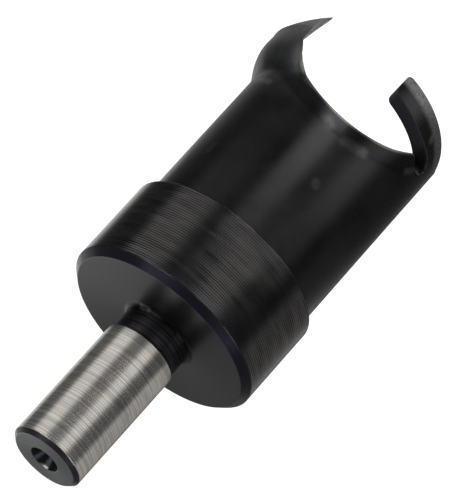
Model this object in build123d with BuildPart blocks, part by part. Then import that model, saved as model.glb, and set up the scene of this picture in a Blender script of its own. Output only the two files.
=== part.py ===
from build123d import *
from math import radians, sin, tan
import os

os.makedirs("parts", exist_ok=True)

# Driving dimensions, in millimetres. The points of the claws are the lowest plane, at height 0.
shank_diameter = 12.7
shank_length = 23.8
shank_end_chamfer = 0.7
shank_shoulder_chamfer = 0.25

# The centre hole in the shank's end: a 60 degree mouth over a short pilot
centre_mouth_diameter = 5.2
centre_mouth_angle = 60
centre_pilot_diameter = 2.4
centre_pilot_length = 2.6

neck_diameter = 11.8
neck_length = 4.55
neck_fillet = 0.9

collar_diameter = 34.6
collar_length = 16.3
collar_rear_chamfer = 1.2
collar_front_chamfer = 0.2

bore_diameter = 25.4
barrel_wall = 3.175
bore_rise_into_collar = 6.0
bore_end_fillet = 1.0

# The claws: how far they reach from the collar, and the nose that their outside narrows to
claw_reach = 42.7
nose_start_height = 6.5
nose_middle_height = 3.7
nose_middle_taper = 0.9
nose_end_wall = 1.3

# One claw is bowed outward, so the barrel swells on that side above its root
bow_out = 2.3
bow_start_height = 14.7
bow_end_height = 9.1
bow_steps = 4

# The gullet: a round side cut between the heel of one claw and the point of the next
gullet_depth = 17.6
gullet_side_room = 2.3
gullet_offset = 1.1
gullet_overrun = 3.0
gullet_face_angle = 38
gullet_slot_angle = 144
gullet_lip_fillet = 1.0

# The point of a claw: its face leans forward, and is cut into the wall this far from the bore
face_root_step = 1.6
face_root_drop = 8.1
face_knee_height = 5.3
face_point_step = 0.35

# The heel of a claw, undercut by a slot that runs on from the gullet. Drops are below its floor.
slot_end_step = -0.4
slot_end_drop = 6.5
slot_end_radius = 1.7
heel_end_width = 1.9
heel_underside_drop = 9.25
heel_corner_fillet = 1.0
heel_end_thickness = 5.45

# The back of a claw's point, from the heel's root down to the point
heel_root_width = 3.5
heel_root_thickness = 1.35
back_middle_width = 0.0
back_middle_drop = 1.2
back_end_width = 3.9

cut_clearance = 4.0

shank_radius = shank_diameter / 2
neck_radius = neck_diameter / 2
collar_radius = collar_diameter / 2
bore_radius = bore_diameter / 2
barrel_radius = bore_radius + barrel_wall
wall_middle_radius = bore_radius + barrel_wall / 2
nose_end_radius = bore_radius + nose_end_wall
gullet_radius = bore_radius + gullet_side_room
face_root_width = bore_radius + face_root_step
face_point_width = bore_radius + face_point_step
slot_end_width = bore_radius + slot_end_step
bowed_radius = barrel_radius + bow_out / 2
bow_shift = bow_out / 2
cut_depth = collar_radius + cut_clearance
centre_mouth_rise = (centre_mouth_diameter - centre_pilot_diameter) / 2
centre_mouth_depth = centre_mouth_rise / tan(radians(centre_mouth_angle / 2))
# Heights above the plane of the points
collar_front_height = claw_reach
collar_rear_height = collar_front_height + collar_length
shoulder_height = collar_rear_height + neck_length
overall_height = shoulder_height + shank_length
gullet_centre_height = gullet_depth - gullet_radius
face_root_height = gullet_depth - face_root_drop
slot_end_height = gullet_depth - slot_end_drop
heel_underside_height = gullet_depth - heel_underside_drop
heel_end_height = heel_underside_height - heel_end_thickness
heel_root_height = heel_underside_height - heel_root_thickness
back_middle_height = heel_root_height - back_middle_drop


with BuildPart() as tenon_cutter:
    # Shank, neck, collar and the plain length of the barrel are turned from one bar
    with BuildSketch(Plane.XZ):
        with BuildLine():
            Polyline(
                (0, bow_start_height),
                (barrel_radius, bow_start_height),
                (barrel_radius, collar_front_height),
                (collar_radius - collar_front_chamfer, collar_front_height),
                (collar_radius, collar_front_height + collar_front_chamfer),
                (collar_radius, collar_rear_height - collar_rear_chamfer),
                (collar_radius - collar_rear_chamfer, collar_rear_height),
                (neck_radius, collar_rear_height),
                (neck_radius, shoulder_height),
                (shank_radius - shank_shoulder_chamfer, shoulder_height),
                (shank_radius, shoulder_height + shank_shoulder_chamfer),
                (shank_radius, overall_height - shank_end_chamfer),
                (shank_radius - shank_end_chamfer, overall_height),
                (0, overall_height),
                close=True,
            )
        make_face()
    revolve(axis=Axis.Z)
    neck_edges = edges().filter_by(GeomType.CIRCLE).filter_by(
        lambda edge: abs(edge.radius - neck_radius) < 0.001
    )
    fillet(neck_edges.sort_by(Axis.Z)[0], radius=neck_fillet)

    # The end that becomes the claws swells to the bowed side
    for step in range(bow_steps + 1):
        share = step / bow_steps
        bow = bow_out * sin(radians(90 * share))
        ring_height = bow_start_height + share * (bow_end_height - bow_start_height)
        with BuildSketch(Plane.XY.offset(ring_height)):
            with Locations((bow / 2, 0)):
                Circle(barrel_radius + bow / 2)
    with BuildSketch(Plane.XY.offset(nose_start_height)):
        with Locations((bow_shift, 0)):
            Circle(bowed_radius)
    loft()

    # Below the swelling it narrows to its nose
    with BuildSketch(Plane.XY.offset(nose_start_height)):
        with Locations((bow_shift, 0)):
            Circle(bowed_radius)
    with BuildSketch(Plane.XY.offset(nose_middle_height)):
        with Locations((bow_shift / 2, 0)):
            Circle(bowed_radius - nose_middle_taper)
    with BuildSketch(Plane.XY):
        Circle(nose_end_radius)
    loft()

    # The bore that takes the tenon
    with BuildSketch(Plane.XY):
        Circle(bore_radius)
    extrude(amount=claw_reach + bore_rise_into_collar, mode=Mode.SUBTRACT)
    bore_end = edges().filter_by(GeomType.CIRCLE).filter_by(
        lambda edge: abs(edge.radius - bore_radius) < 0.001
    )
    fillet(bore_end.sort_by(Axis.Z)[-1], radius=bore_end_fillet)

    # Two gullets, half a turn apart, each milled from its own side of the barrel
    for facing in (1, -1):
        side = Plane(origin=(0, 0, 0), x_dir=(facing, 0, 0), z_dir=(0, -facing, 0))
        with BuildSketch(side.offset(-gullet_overrun)):
            with BuildLine():
                floor = CenterArc(
                    (gullet_offset, gullet_centre_height),
                    gullet_radius,
                    gullet_face_angle,
                    gullet_slot_angle - gullet_face_angle,
                )
                face = Polyline(
                    floor @ 0,
                    (face_root_width, face_root_height),
                    (face_root_width, face_knee_height),
                    (face_point_width, 0),
                    (face_point_width, -cut_clearance),
                    (-heel_end_width, -cut_clearance),
                    (-heel_end_width, heel_underside_height),
                    (-slot_end_width, slot_end_height - slot_end_radius),
                )
                slot_end = ThreePointArc(
                    face @ 1,
                    (-slot_end_width - slot_end_radius, slot_end_height),
                    (-slot_end_width, slot_end_height + slot_end_radius),
                )
                Line(slot_end @ 1, floor @ 1)
            make_face()
            lip = vertices().sort_by_distance(floor @ 1)[0]
            fillet(lip, radius=gullet_lip_fillet)
            heel_corner = (-heel_end_width, heel_underside_height)
            fillet(vertices().sort_by_distance(heel_corner)[0], radius=heel_corner_fillet)
        extrude(amount=gullet_overrun + cut_depth, mode=Mode.SUBTRACT)

        # The rim behind each point is relieved, low along the heel and rising to the point
        edge_on = Plane(origin=(0, 0, 0), x_dir=(0, facing, 0), z_dir=(facing, 0, 0))
        with BuildSketch(edge_on):
            with BuildLine():
                back = ThreePointArc(
                    (heel_root_width, heel_root_height),
                    (back_middle_width, back_middle_height),
                    (-back_end_width, 0),
                )
                Polyline(
                    back @ 1,
                    (-back_end_width, -cut_clearance),
                    (cut_depth, -cut_clearance),
                    (cut_depth, heel_end_height),
                    back @ 0,
                )
            make_face()
        extrude(amount=cut_depth, mode=Mode.SUBTRACT)

    # The blunt ends of the heels are rounded at their outer corner too
    for facing in (1, -1):
        heel_end = (-facing * heel_end_width, -facing * wall_middle_radius, heel_end_height)
        fillet(edges().sort_by_distance(heel_end)[0], radius=heel_corner_fillet)

    # Centre hole in the shank's end
    with BuildSketch(Plane.XZ):
        with BuildLine():
            Polyline(
                (0, overall_height),
                (centre_mouth_diameter / 2, overall_height),
                (centre_pilot_diameter / 2, overall_height - centre_mouth_depth),
                (centre_pilot_diameter / 2, overall_height - centre_mouth_depth - centre_pilot_length),
                (0, overall_height - centre_mouth_depth - centre_pilot_length),
                close=True,
            )
        make_face()
    revolve(axis=Axis.Z, mode=Mode.SUBTRACT)

tenon_cutter.part.label = "tenon_cutter"
export_step(tenon_cutter.part, "parts/tenon_cutter.step")

size = tenon_cutter.part.bounding_box()
print("size", size.size, "lowest", size.min.Z, "volume", tenon_cutter.part.volume)
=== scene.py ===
import math

import bpy
import numpy as np
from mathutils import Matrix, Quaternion, Vector

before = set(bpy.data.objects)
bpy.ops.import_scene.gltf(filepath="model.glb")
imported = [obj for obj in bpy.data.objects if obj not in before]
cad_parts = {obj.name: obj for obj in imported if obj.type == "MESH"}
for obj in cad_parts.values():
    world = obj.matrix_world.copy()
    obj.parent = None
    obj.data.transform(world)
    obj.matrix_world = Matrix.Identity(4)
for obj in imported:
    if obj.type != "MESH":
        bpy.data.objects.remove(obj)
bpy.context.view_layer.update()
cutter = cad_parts["tenon_cutter"]
print("frame loaded")


def newMaterial(name):
    material = bpy.data.materials.new(name)
    material.use_nodes = True
    tree = material.node_tree
    return material, tree, tree.nodes["Principled BSDF"]


# Small helpers: addNode hands back the new node, and the others hand back what their last node gives out.
def addNode(tree, kind, inputs=(), **settings):
    node = tree.nodes.new(kind)
    for name, value in settings.items():
        setattr(node, name, value)
    for slot, value in dict(inputs).items():
        socket = node.inputs[slot]
        if isinstance(value, bpy.types.NodeSocket):
            tree.links.new(value, socket)
        else:
            socket.default_value = value
    return node


def mathNode(tree, operation, a, b=0.0, clamp=False):
    return addNode(tree, "ShaderNodeMath", {0: a, 1: b}, operation=operation, use_clamp=clamp).outputs[0]


def product(tree, first, *others):
    for other in others:
        first = mathNode(tree, "MULTIPLY", first, other)
    return first


def largest(tree, first, *others):
    for other in others:
        first = mathNode(tree, "MAXIMUM", first, other)
    return first


def inverse(tree, value):  # 1 where the value is 0, and 0 where it is 1
    return mathNode(tree, "SUBTRACT", 1.0, value, True)


def ramp(tree, value, low, high):  # 0 below low, 1 above high, smooth between
    node = addNode(tree, "ShaderNodeMapRange", {0: value, 1: low, 2: high, 3: 0.0, 4: 1.0},
                   interpolation_type="SMOOTHSTEP")
    return node.outputs[0]


def fall(tree, value, low, high):  # 1 below low, 0 above high, smooth between
    return inverse(tree, ramp(tree, value, low, high))


def band(tree, value, low, high, soft):  # 1 between low and high, with soft edges
    rising = ramp(tree, value, low - soft, low + soft)
    past = ramp(tree, value, high - soft, high + soft)
    return mathNode(tree, "SUBTRACT", rising, past, True)


def mixColour(tree, share, a, b):
    node = addNode(tree, "ShaderNodeMix", data_type="RGBA", blend_type="MIX")
    for slot, value in ((0, share), (6, a), (7, b)):
        if isinstance(value, bpy.types.NodeSocket):
            tree.links.new(value, node.inputs[slot])
        else:
            node.inputs[slot].default_value = value if slot == 0 else (*value, 1.0)
    return node.outputs[2]


def mixValue(tree, share, a, b):
    return addNode(tree, "ShaderNodeMix", {0: share, 2: a, 3: b}, data_type="FLOAT").outputs[0]


def vectorOf(tree, x, y, z):
    return addNode(tree, "ShaderNodeCombineXYZ", {0: x, 1: y, 2: z}).outputs[0]


def vectorNode(tree, operation, a, b=(0.0, 0.0, 0.0)):
    node = addNode(tree, "ShaderNodeVectorMath", {0: a, 1: b}, operation=operation)
    givesNumber = operation in ("LENGTH", "DISTANCE", "DOT_PRODUCT")
    return node.outputs["Value" if givesNumber else "Vector"]


def noise(tree, where, stretch, detail, roughness):  # cloudy noise, finer along the axes of a big stretch
    spread = vectorNode(tree, "MULTIPLY", where, stretch)
    inputs = {"Vector": spread, "Scale": 1.0, "Detail": detail, "Roughness": roughness}
    return addNode(tree, "ShaderNodeTexNoise", inputs).outputs[0]


# Where each finish lies, in metres: above and below go by the height over the claws' points, and outside
# and inside by the distance from the axis. A pair is where a change starts and where it is complete.
areas = {
    "shankSide": {"above": (0.06360, 0.06375), "below": (0.08660, 0.08670), "outside": (0.00619, 0.00627)},
    "endFace": {"above": (0.08729, 0.08732), "outside": (0.00255, 0.00265)},
    "endChamfer": {"above": (0.08663, 0.08667), "below": (0.08728, 0.08732), "outside": (0.00500, 0.00520)},
    "hole": {"above": (0.08100, 0.08120), "inside": (0.00255, 0.00265)},
    "neck": {"above": (0.05905, 0.05915), "below": (0.06350, 0.06360), "inside": (0.00625, 0.00635)},
    # the fillet at the neck's root, which takes a painted shade
    "neckRootShade": {"above": (0.05905, 0.05915), "below": (0.05954, 0.06008), "inside": (0.00625, 0.00635)},
    "rearFace": {"above": (0.05894, 0.05896), "below": (0.05901, 0.05903), "outside": (0.00630, 0.00690)},
    "chamfer": {"above": (0.05778, 0.05782), "below": (0.05893, 0.05897), "outside": (0.01605, 0.01612)},
    "collar": {"above": (0.04284, 0.04296), "below": (0.05774, 0.05786), "outside": (0.01700, 0.01710)},
    "barrel": {"below": (0.04250, 0.04260)},
    "wall": {"outside": (0.01240, 0.01260)},  # all that lies outside the bore
    "outerSide": {"outside": (0.01500, 0.01540)},  # near the outside of the wall
    "kink": {"above": (0.01260, 0.01340), "below": (0.01600, 0.01680)},
    "slotEnd": {"above": (0.00880, 0.00920), "below": (0.01280, 0.01320), "inside": (0.01570, 0.01584)},
}

# The claws and the gullets, in metres. Along a claw, minus is towards its point and plus towards its heel.
claws = {
    "heelFrom": (0.0030, 0.0060),  # along the claw, where the heel's finish takes over
    "rimFrom": 0.0035,  # the heel's rim has rimHeight here and falls by rimSlope on from here
    "rimHeight": 0.0070,
    "rimSlope": 0.2303,
    "noseOnPoint": (0.0052, 0.0115),  # heights between which the bare nose fades out
    "noseOverRim": (0.0014, 0.0026),  # the same on the heel, above its rim
    "tintFoot": 0.0110,  # heights between which the claw's own colour fades out, on the point and by the heel
    "tintTop": 0.0215,
    "tintTopByHeel": 0.0140,
    "cutTurn": (0.45, 0.75),  # how far a cut face may be turned outwards
    "slotSide": (0.0104, 0.0120),  # the slot's end lies this far across
    "kinkSide": (0.003, 0.006),  # and the bow's kink this far towards the bowed claw
    "gulletAcross": 0.0011,  # the gullet's centre: off the axis by this much, towards the point
    "gulletHeight": 0.0026,
    "gulletRadius": 0.0150,
    "lipWidth": 0.0028,
}

# Black oxide all over, thinner on the collar's ridges and the claws' noses, and ground off the shank.
steel = {
    # a finish of two tones goes from dark to light as its pattern rises through the levels
    "tones": {
        "black": {"dark": (0.0143, 0.0140, 0.0150), "light": (0.019305, 0.0189, 0.02025),
                  "levels": (0.3, 0.75)},
        "collar": {"dark": (0.004, 0.004, 0.0048), "light": (0.078, 0.077, 0.078), "levels": (0.6, 2.4)},
        "neck": {"dark": (0.0143, 0.0140, 0.0150), "light": (0.056, 0.056, 0.063), "levels": (0.35, 0.65)},
        "rearFace": {"dark": (0.0531, 0.0531, 0.0549), "light": (0.0649, 0.0649, 0.0671),
                     "levels": (0.25, 0.75)},
        "shank": {"dark": (0.305, 0.296, 0.299), "light": (0.495, 0.478, 0.445), "levels": (0.36, 0.64)},
    },
    "colours": {
        "claw": (0.074, 0.080, 0.082),
        # painted shade, darkening the crease at the neck's root
        "neckRootShade": (0.0035, 0.0035, 0.0042),
        "chamfer": (0.0145, 0.0145, 0.0215),
        "endChamfer": (0.030, 0.030, 0.037),
        "endFace": (0.142, 0.145, 0.145),
        "hole": (0.010, 0.011, 0.013),
        "nose": (0.185, 0.188, 0.183),
        "heelEdge": (0.115, 0.118, 0.115),
        "cutFace": (0.031, 0.032, 0.040),
        "cutPoint": (0.11, 0.112, 0.11),
        "slotEnd": (0.018, 0.018, 0.021),
        "highlightColour": (0.16, 0.165, 0.16),
        "bareEdge": (0.24, 0.24, 0.24),
    },
    # roughness: a pair follows its pattern from the first to the second
    "gloss": {
        "black": (0.26, 0.33),
        "collar": 0.20,
        "rearFace": 0.33,
        "claws": 0.50,
        "shank": (0.19, 0.31),
        "slotEnd": 0.95,
    },
    "metal": {"oxide": 0.9, "cutFace": 0.6, "bright": 1.0},
    "specularTint": (0.7, 0.7, 0.7, 1.0),
    "specularLevel": 0.2,
    "drawnOut": 0.5,  # how far gloss is drawn out across the fine lines
    # how many of a pattern's cells lie in a metre along x, y and z, then its detail and its roughness
    "grain": {
        "fineLines": ((90.0, 90.0, 6500.0), 3.0, 0.6),
        "streaks": ((150.0, 150.0, 1500.0), 2.0, 0.55),
        "discRings": ((5200.0, 0.0, 0.0), 3.0, 0.6),
        "cloud": ((170.0, 170.0, 170.0), 4.0, 0.55),
        "speck": ((2600.0, 2600.0, 2600.0), 2.0, 0.55),
        "patches": ((900.0, 900.0, 900.0), 2.0, 0.55),
    },
    # levels between which a pattern comes in
    "clawClouds": (0.1, 0.6),
    "noseSpecks": (0.1, 0.6),
    "roughClouds": (0.3, 0.7),
    "highlightPatches": (0.15, 0.55),
    # heights in metres; the streaks break up the colour of the ridges
    "relief": {"ridges": 0.0000040, "fineLines": 0.0000022, "discRings": 0.0000020, "specks": 0.0000020,
               "lip": 0.00022},
    "ridgePitch": 0.00041,
    "ridgeStreaks": 3.0,
    # edges are shaded as if rounded this far, in metres, and are bare where that turns the surface
    "edges": {"round": 0.00025, "kinkRound": 0.0016, "samples": 6, "turn": (0.03, 0.25), "bare": 0.60,
              "bareOnBarrel": 0.12},
    # the lip round each gullet, in painted light and shade: a band of painted shade, a painted highlight
    # along the rim and a line of painted shade where the lip starts; across is measured in metres from the
    # gullet's rim
    "paintedLipLightAndShade": (
        {"colour": (0.0080, 0.0082, 0.0105), "across": (-0.0003, 0.0031), "soft": 0.0006, "share": 0.6,
         "heights": (0.0125, 0.0165)},
        {"colour": (0.105, 0.105, 0.096), "across": (-0.0004, 0.0003), "soft": 0.0002, "share": 0.7,
         "heights": (0.0114, 0.0124)},
        {"colour": (0.004, 0.004, 0.005), "across": (0.0026, 0.0030), "soft": 0.0003, "share": 0.4,
         "clouds": (0.35, 0.60)},
    ),
    # painted highlights, light glints that the photograph shows: the ends of each mark's middle line,
    # its reach from that line and how strong the painted highlight is; a mark is full within the core share
    # of its reach
    "highlightCore": 0.1,
    "paintedHighlights": (
        ((-0.00244, -0.01568, 0.02941), (-0.00225, -0.01571, 0.02900), 0.0011, 0.17),
        ((0.01347, -0.00840, 0.03400), (0.01347, -0.00840, 0.03250), 0.0010, 0.12),
        ((0.01616, -0.00788, 0.00998), (0.01590, -0.00820, 0.00950), 0.0013, 0.20),
        ((-0.01131, -0.01158, 0.00740), (-0.01150, -0.01130, 0.00780), 0.0009, 0.50),
        ((-0.01249, -0.00992, 0.01328), (-0.01180, -0.01070, 0.01450), 0.0010, 0.25),
        ((0.00300, -0.01556, 0.01950), (0.00220, -0.01568, 0.01990), 0.0015, 0.11),
        ((-0.00140, -0.01581, 0.02060), (-0.00460, -0.01520, 0.01935), 0.0014, 0.15),
        ((0.01523, -0.00447, 0.01700), (0.01366, -0.00807, 0.01775), 0.0009, 0.45),
        ((0.00387, -0.00484, 0.05923), (0.00470, -0.00400, 0.05923), 0.0009, 0.25),
        ((-0.00120, 0.00235, 0.08730), (-0.00020, 0.00262, 0.08730), 0.0005, 0.90),
    ),
}


def areaMask(tree, limits, height, radius):  # 1 in an area and 0 outside it: the product of its limits' ramps
    edges = []
    for way, (start, end) in limits.items():
        value = height if way in ("above", "below") else radius
        edge = ramp if way in ("above", "outside") else fall
        edges.append(edge(tree, value, start, end))
    return product(tree, *edges)


def twoToned(tree, finish, pattern):
    tone = steel["tones"][finish]
    return mixColour(tree, ramp(tree, pattern, *tone["levels"]), tone["dark"], tone["light"])


# How much painted highlight a place gets: full near a mark's middle line and none at its reach. The distance
# is to the nearest point of that line, and the mark that tells most counts.
def paintedHighlights(tree, place):
    highlights = []
    for start, end, reach, highlightShare in steel["paintedHighlights"]:
        run = Vector(end) - Vector(start)
        offset = vectorNode(tree, "SUBTRACT", place, start)
        onRun = vectorNode(tree, "DOT_PRODUCT", offset, run)
        along = mathNode(tree, "DIVIDE", onRun, run.length_squared, True)
        nearest = addNode(tree, "ShaderNodeVectorMath", {0: run, "Scale": along}, operation="SCALE")
        away = vectorNode(tree, "DISTANCE", offset, nearest.outputs[0])
        highlights.append(product(tree, fall(tree, away, steel["highlightCore"] * reach, reach), highlightShare))
    patches = ramp(tree, noise(tree, place, *steel["grain"]["patches"]), *steel["highlightPatches"])
    return product(tree, largest(tree, *highlights), patches)


def blackenedSteel():
    material, tree, shader = newMaterial("blackenedSteel")
    colours, gloss, metal = steel["colours"], steel["gloss"], steel["metal"]
    grain, relief, edges = steel["grain"], steel["relief"], steel["edges"]
    coordinates = addNode(tree, "ShaderNodeTexCoord")
    place, facing = coordinates.outputs["Object"], coordinates.outputs["Normal"]
    x, y, z = addNode(tree, "ShaderNodeSeparateXYZ", {0: place}).outputs
    level = vectorOf(tree, x, y, 0.0)
    radius = vectorNode(tree, "LENGTH", level)
    outward = vectorNode(tree, "NORMALIZE", level)
    turnedOut = mathNode(tree, "ABSOLUTE", vectorNode(tree, "DOT_PRODUCT", facing, outward))

    # which part of the tool a point is on
    on = {name: areaMask(tree, limits, z, radius) for name, limits in areas.items()}
    cutFace = product(tree, on["barrel"], on["wall"], fall(tree, turnedOut, *claws["cutTurn"]))
    alongClaw = product(tree, y, mathNode(tree, "SIGN", x))
    onHeel = ramp(tree, alongClaw, *claws["heelFrom"])
    onPoint = inverse(tree, onHeel)
    rimRun = product(tree, mathNode(tree, "SUBTRACT", alongClaw, claws["rimFrom"]), claws["rimSlope"])
    heelRim = mathNode(tree, "SUBTRACT", claws["rimHeight"], rimRun)
    noseLow, noseHigh = (mixValue(tree, onHeel, height, mathNode(tree, "ADD", heelRim, over))
                         for height, over in zip(claws["noseOnPoint"], claws["noseOverRim"]))
    nose = fall(tree, z, noseLow, noseHigh)
    tintTop = mixValue(tree, onHeel, claws["tintTop"], claws["tintTopByHeel"])
    onClaw = product(tree, fall(tree, z, claws["tintFoot"], tintTop), onPoint)
    slotEnd = product(tree, on["slotEnd"], onHeel,
                      ramp(tree, mathNode(tree, "ABSOLUTE", x), *claws["slotSide"]))
    atKink = product(tree, on["kink"], ramp(tree, x, *claws["kinkSide"]), inverse(tree, cutFace))

    # the lip pressed a little inward round each gullet, deepest at the gullet's rim
    gulletX = mathNode(tree, "ADD", product(tree, x, mathNode(tree, "SIGN", y)), claws["gulletAcross"])
    gulletZ = mathNode(tree, "SUBTRACT", z, claws["gulletHeight"])
    fromCentre = vectorNode(tree, "LENGTH", vectorOf(tree, gulletX, gulletZ, 0.0))
    fromRim = mathNode(tree, "SUBTRACT", fromCentre, claws["gulletRadius"])
    inLip = mathNode(tree, "SUBTRACT", claws["lipWidth"], fromRim)
    intoLip = mathNode(tree, "DIVIDE", inLip, claws["lipWidth"], True)
    onLip = product(tree, inverse(tree, cutFace), on["outerSide"])
    pressed = product(tree, intoLip, intoLip, onLip)

    # fine lines that run round the axis, longer streaks, rings on the flat ends, and the oxide's clouds
    # and specks
    fineLines = noise(tree, place, *grain["fineLines"])
    streaks = noise(tree, place, *grain["streaks"])
    discRings = noise(tree, vectorOf(tree, radius, 0.0, 0.0), *grain["discRings"])
    cloud = noise(tree, place, *grain["cloud"])
    speck = noise(tree, place, *grain["speck"])
    ridge = mathNode(tree, "SINE", product(tree, z, 2 * math.pi / steel["ridgePitch"]))
    wornRidge = mathNode(tree, "ADD", ridge, product(tree, streaks, steel["ridgeStreaks"]))

    # worn edges, where a small rounding would turn the surface
    rounding = mixValue(tree, atKink, edges["round"], edges["kinkRound"])
    rounded = addNode(tree, "ShaderNodeBevel", {"Radius": rounding}, samples=edges["samples"]).outputs[0]
    plain = addNode(tree, "ShaderNodeNewGeometry").outputs["Normal"]
    turned = mathNode(tree, "SUBTRACT", 1.0, vectorNode(tree, "DOT_PRODUCT", rounded, plain))
    bareEdge = product(tree, ramp(tree, turned, *edges["turn"]),
                       mixValue(tree, on["barrel"], edges["bare"], edges["bareOnBarrel"]),
                       inverse(tree, on["neck"]), inverse(tree, atKink), inverse(tree, slotEnd))

    # the finishes, each laid over those before it
    noseColour = mixColour(tree, onHeel, colours["nose"], colours["heelEdge"])
    cutColour = mixColour(tree, product(tree, nose, onPoint), colours["cutFace"], colours["cutPoint"])
    layers = [
        (product(tree, onClaw, ramp(tree, cloud, *steel["clawClouds"])), colours["claw"]),
        (on["collar"], twoToned(tree, "collar", wornRidge)),
        (on["neck"], twoToned(tree, "neck", fineLines)),
        # painted shade in the crease at the neck's root
        (on["neckRootShade"], colours["neckRootShade"]),
        (on["rearFace"], twoToned(tree, "rearFace", discRings)),
        (on["chamfer"], colours["chamfer"]),
        (on["endChamfer"], colours["endChamfer"]),
        (on["endFace"], colours["endFace"]),
        (product(tree, nose, ramp(tree, speck, *steel["noseSpecks"])), noseColour),
        (cutFace, cutColour),
        (slotEnd, colours["slotEnd"]),
    ]
    # painted shade and painted highlight along each gullet's lip
    for mark in steel["paintedLipLightAndShade"]:
        inBand = band(tree, fromRim, *mark["across"], mark["soft"])
        inPart = ramp(tree, z, *mark["heights"]) if "heights" in mark else ramp(tree, cloud, *mark["clouds"])
        layers.append((product(tree, onLip, on["barrel"], inBand, inPart, mark["share"]), mark["colour"]))
    layers += [
        (on["hole"], colours["hole"]),
        (on["shankSide"], twoToned(tree, "shank", fineLines)),
        # painted highlights: glints laid into the colour
        (paintedHighlights(tree, place), colours["highlightColour"]),
        (bareEdge, colours["bareEdge"]),
    ]
    colour = twoToned(tree, "black", cloud)
    for mask, finish in layers:
        colour = mixColour(tree, mask, colour, finish)
    tree.links.new(colour, shader.inputs["Base Color"])

    bright = largest(tree, on["shankSide"], on["endFace"], on["rearFace"], on["collar"], slotEnd)
    dull = mixValue(tree, cutFace, metal["oxide"], metal["cutFace"])
    tree.links.new(mixValue(tree, bright, dull, metal["bright"]), shader.inputs["Metallic"])
    shader.inputs["Specular Tint"].default_value = steel["specularTint"]
    shader.inputs["Specular IOR Level"].default_value = steel["specularLevel"]

    rough = mixValue(tree, ramp(tree, cloud, *steel["roughClouds"]), *gloss["black"])
    for mask, value in ((on["collar"], gloss["collar"]),
                        (on["rearFace"], gloss["rearFace"]),
                        (largest(tree, cutFace, nose), gloss["claws"]),
                        (on["shankSide"], mixValue(tree, fineLines, *gloss["shank"])),
                        (slotEnd, gloss["slotEnd"])):
        rough = mixValue(tree, mask, rough, value)
    tree.links.new(rough, shader.inputs["Roughness"])

    # fine lines run round the axis, so gloss is drawn out across them
    around = vectorOf(tree, product(tree, y, -1.0), x, 0.0)
    across = vectorNode(tree, "NORMALIZE", vectorNode(tree, "CROSS_PRODUCT", facing, around))
    tree.links.new(across, shader.inputs["Tangent"])
    shader.inputs["Anisotropic"].default_value = steel["drawnOut"]

    # the relief's height, laid on the rounded edges
    onEnds = largest(tree, on["rearFace"], on["endFace"])
    height = product(tree, ridge, on["collar"], relief["ridges"])
    for pattern, mask, depth in ((fineLines, inverse(tree, cutFace), relief["fineLines"]),
                                 (discRings, onEnds, relief["discRings"]),
                                 (speck, inverse(tree, on["shankSide"]), relief["specks"]),
                                 (pressed, on["barrel"], -relief["lip"])):
        height = mathNode(tree, "ADD", height, product(tree, pattern, mask, depth))
    inputs = {"Strength": 1.0, "Distance": 1.0, "Height": height, "Normal": rounded}
    tree.links.new(addNode(tree, "ShaderNodeBump", inputs).outputs[0], shader.inputs["Normal"])
    return material


cutter.data.materials.clear()
cutter.data.materials.append(blackenedSteel())
print("steel finished")


def stagePiece(name, points, faces, material):
    mesh = bpy.data.meshes.new(name)
    mesh.from_pydata(points, [], faces)
    mesh.materials.append(material)
    piece = bpy.data.objects.new(name, mesh)
    bpy.context.scene.collection.objects.link(piece)
    return piece


# Pale floor, as white to the camera and in the steel's gloss as a studio sweep.
floor = {"half": 3.0, "height": -0.11, "colour": (0.86, 0.86, 0.86), "glow": 0.56, "roughness": 0.9}


def palePaper():
    material, tree, shader = newMaterial("palePaper")
    shader.inputs["Base Color"].default_value = (*floor["colour"], 1.0)
    shader.inputs["Roughness"].default_value = floor["roughness"]
    shader.inputs["Specular IOR Level"].default_value = 0.0
    rays = addNode(tree, "ShaderNodeLightPath").outputs
    seen = largest(tree, rays["Is Camera Ray"], rays["Is Glossy Ray"], rays["Is Transmission Ray"])
    shader.inputs["Emission Color"].default_value = (1.0, 1.0, 1.0, 1.0)
    tree.links.new(product(tree, seen, floor["glow"]), shader.inputs["Emission Strength"])
    return material


half, low = floor["half"], floor["height"]
corners = ((-half, -half, low), (half, -half, low), (half, half, low), (-half, half, low))
stagePiece("paleFloor", corners, [(0, 1, 2, 3)], palePaper())
print("floor laid")


# Soft boxes above the tool. A bearing is measured round the tool from the camera's side, towards its left.
softBoxes = (
    {"name": "keyBox", "bearing": -50.0, "away": 0.75, "middle": 0.60, "size": (0.55, 0.5), "power": 5.0},
    {"name": "fillBox", "bearing": 60.0, "away": 0.75, "middle": 0.50, "size": (0.45, 0.5), "power": 2.8},
    {"name": "farCard", "bearing": -155.0, "away": 0.18, "middle": 0.141, "size": (0.14, 0.2),
     "power": 0.095},
)
lampAim = Vector((0.0, 0.0, 0.03))


def outFrom(bearing):  # the level direction from the tool at this bearing
    turn = math.radians(-bearing - 90.0)
    return Vector((math.cos(turn), math.sin(turn), 0.0))


for box in softBoxes:
    lamp = bpy.data.lights.new(box["name"], "AREA")
    lamp.shape = "RECTANGLE"
    lamp.size, lamp.size_y = box["size"]
    lamp.energy = box["power"]
    holder = bpy.data.objects.new(box["name"], lamp)
    bpy.context.scene.collection.objects.link(holder)
    holder.location = outFrom(box["bearing"]) * box["away"] + Vector((0.0, 0.0, box["middle"]))
    holder.rotation_mode = "QUATERNION"
    holder.rotation_quaternion = (lampAim - holder.location).to_track_quat("-Z", "Y")
    holder.visible_camera = False

# A paper tube round the tool that only its gloss sees. Its upper part is pale with soft dark bands, and its
# lower part grey with bright bands.
tube = {
    "radius": 0.10,
    "foot": -0.105,
    "top": 0.070,
    "sides": 96,
    "change": (-0.013, -0.004),  # heights between which the lower part gives way to the upper
    "light": (1.0, 0.975, 0.93),
    "pale": 1.25,
    "grey": 0.28,
    "paper": (0.02, 0.02, 0.02),
    "roughness": 0.9,
}
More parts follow.
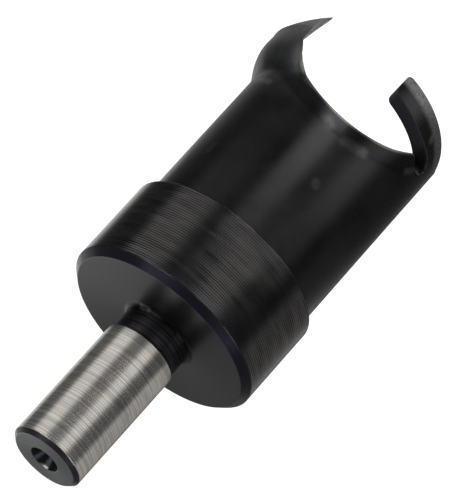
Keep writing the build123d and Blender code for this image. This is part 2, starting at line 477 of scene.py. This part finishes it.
# A band's bearing, the half widths of its core and of its fade in degrees, and the share that it takes away
# from the pale paper or what it adds to the grey.
darkBands = (
    (-112.0, 17.0, 34.0, 0.87),
    (-22.0, 9.0, 28.0, 0.82),
    (53.5, 13.0, 32.5, 0.93),
    (120.0, 28.0, 52.0, 0.52),
    (170.0, 8.0, 28.0, 0.80),
)
brightBands = (
    (-13.0, 5.0, 19.0, 5.8),
    (43.0, 5.0, 20.0, 2.9),
    (115.0, 20.0, 45.0, -0.12),
    (-148.0, 14.0, 38.0, 0.28),
    (180.0, 5.0, 14.0, 3.0),
)


def bandedPaper():
    material, tree, shader = newMaterial("bandedPaper")
    material.cycles.emission_sampling = "NONE"
    shader.inputs["Base Color"].default_value = (*tube["paper"], 1.0)
    shader.inputs["Roughness"].default_value = tube["roughness"]
    place = addNode(tree, "ShaderNodeTexCoord").outputs["Object"]
    x, y, z = addNode(tree, "ShaderNodeSeparateXYZ", {0: place}).outputs
    outward = vectorNode(tree, "NORMALIZE", vectorOf(tree, x, y, 0.0))

    def around(bearing, core, fade):  # 1 within core degrees of the bearing, 0 beyond fade
        near = vectorNode(tree, "DOT_PRODUCT", outward, outFrom(bearing))
        return ramp(tree, near, math.cos(math.radians(fade)), math.cos(math.radians(core)))

    upper = tube["pale"]
    for bearing, core, fade, dark in darkBands:
        upper = product(tree, inverse(tree, product(tree, around(bearing, core, fade), dark)), upper)
    lower = tube["grey"]
    for bearing, core, fade, bright in brightBands:
        lower = mathNode(tree, "ADD", lower, product(tree, around(bearing, core, fade), bright))
    glow = mixValue(tree, ramp(tree, z, *tube["change"]), lower, upper)
    shader.inputs["Emission Color"].default_value = (*tube["light"], 1.0)
    tree.links.new(glow, shader.inputs["Emission Strength"])
    return material


# its wall is a circle of points at the foot and the same at the top, joined by a strip of faces
turns = np.linspace(0.0, 2.0 * np.pi, tube["sides"], endpoint=False)
ring = tube["radius"] * np.column_stack([np.cos(turns), np.sin(turns)])
wall = np.concatenate([np.column_stack([ring, np.full(len(ring), tube[end])]) for end in ("foot", "top")])
here = np.arange(len(ring))
beside = np.roll(here, -1)
faces = np.column_stack([here, beside, beside + len(ring), here + len(ring)])
bandedTube = stagePiece("bandedTube", wall.tolist(), faces.tolist(), bandedPaper())
bandedTube.visible_camera = False
bandedTube.visible_diffuse = False
bandedTube.visible_shadow = False
print("tube set")

# Soft light from all round.
room = {"colour": (0.97, 0.98, 1.0, 1.0), "strength": 0.40}
world = bpy.data.worlds.new("softRoom")
bpy.context.scene.world = world
world.use_nodes = True
world.node_tree.nodes["Background"].inputs[0].default_value = room["colour"]
world.node_tree.nodes["Background"].inputs[1].default_value = room["strength"]
bpy.context.scene.view_settings.view_transform = "Standard"
print("lamps set")


# The camera looks down on the tool at the photograph's angle, rolled so that the claws point up right.
shot = {
    "aim": (0.000473, -0.000611, 0.040642),
    "distance": 0.668,
    "azimuth": 1.282,
    "elevation": 24.603,
    "roll": -138.011,
    "lens": 305.7,
    "sensor": 36.0,
    "nearest": 0.01,
    "farthest": 20.0,
}

lens = bpy.data.cameras.new("camera")
camera = bpy.data.objects.new("camera", lens)
bpy.context.scene.collection.objects.link(camera)
azimuth, elevation = math.radians(shot["azimuth"]), math.radians(shot["elevation"])
back = Vector((math.sin(azimuth) * math.cos(elevation), -math.cos(azimuth) * math.cos(elevation),
               math.sin(elevation)))
camera.location = Vector(shot["aim"]) + back * shot["distance"]
camera.rotation_mode = "QUATERNION"
roll = Quaternion((0.0, 0.0, 1.0), math.radians(shot["roll"]))
camera.rotation_quaternion = (-back).to_track_quat("-Z", "Y") @ roll
lens.sensor_width = shot["sensor"]
lens.lens = shot["lens"]
lens.clip_start = shot["nearest"]
lens.clip_end = shot["farthest"]
bpy.context.scene.camera = camera
print("camera placed")
